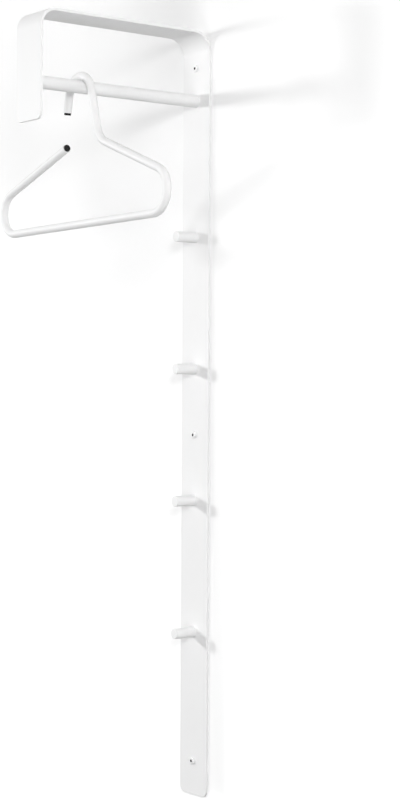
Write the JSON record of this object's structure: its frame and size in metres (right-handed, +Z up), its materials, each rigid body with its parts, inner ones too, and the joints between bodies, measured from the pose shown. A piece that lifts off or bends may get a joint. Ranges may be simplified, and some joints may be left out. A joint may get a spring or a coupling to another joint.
{
  "type": "wall coat rack",
  "caption": "Flat steel bar fixed upright on a wall and bent over at the top into a short arm, with a hanger rail under the arm, round pegs below it and a bent-tube clothes hanger on the rail.",
  "frame": {"origin": "middle of the strip's lower end, on the plane of the wall", "axes": "+X to the right along the wall as seen from the room, +Y into the wall, +Z up"},
  "size_m": [0.437, 0.347, 1.15],
  "materials": {
    "white_paint": "white powder coat, semi-gloss",
    "zinc_steel": "zinc plated",
    "nylon": "pale grey nylon",
    "black_plastic": "black, satin"
  },
  "bodies": {
    "rack": {"strip_frame": "white_paint", "rail": "white_paint", "rail_front_boss": "zinc_steel", "rail_rear_plug": "zinc_steel", "rail_screw": "zinc_steel", "peg_1": "white_paint", "peg_2": "white_paint", "peg_3": "white_paint", "peg_4": "white_paint", "peg_screws": "zinc_steel", "wall_screws": "white_paint", "wall_plugs": "nylon"},
    "hanger": {"hanger_tube": "white_paint", "hook_end_cap": "black_plastic", "shoulder_end_cap": "black_plastic"}
  },
  "joints": [
    {"name": "hanger_slide", "type": "slide", "parent": "rack", "child": "hanger", "axis": [0, 1, 0], "range_m": [-0.0765, 0.165]}
  ]
}
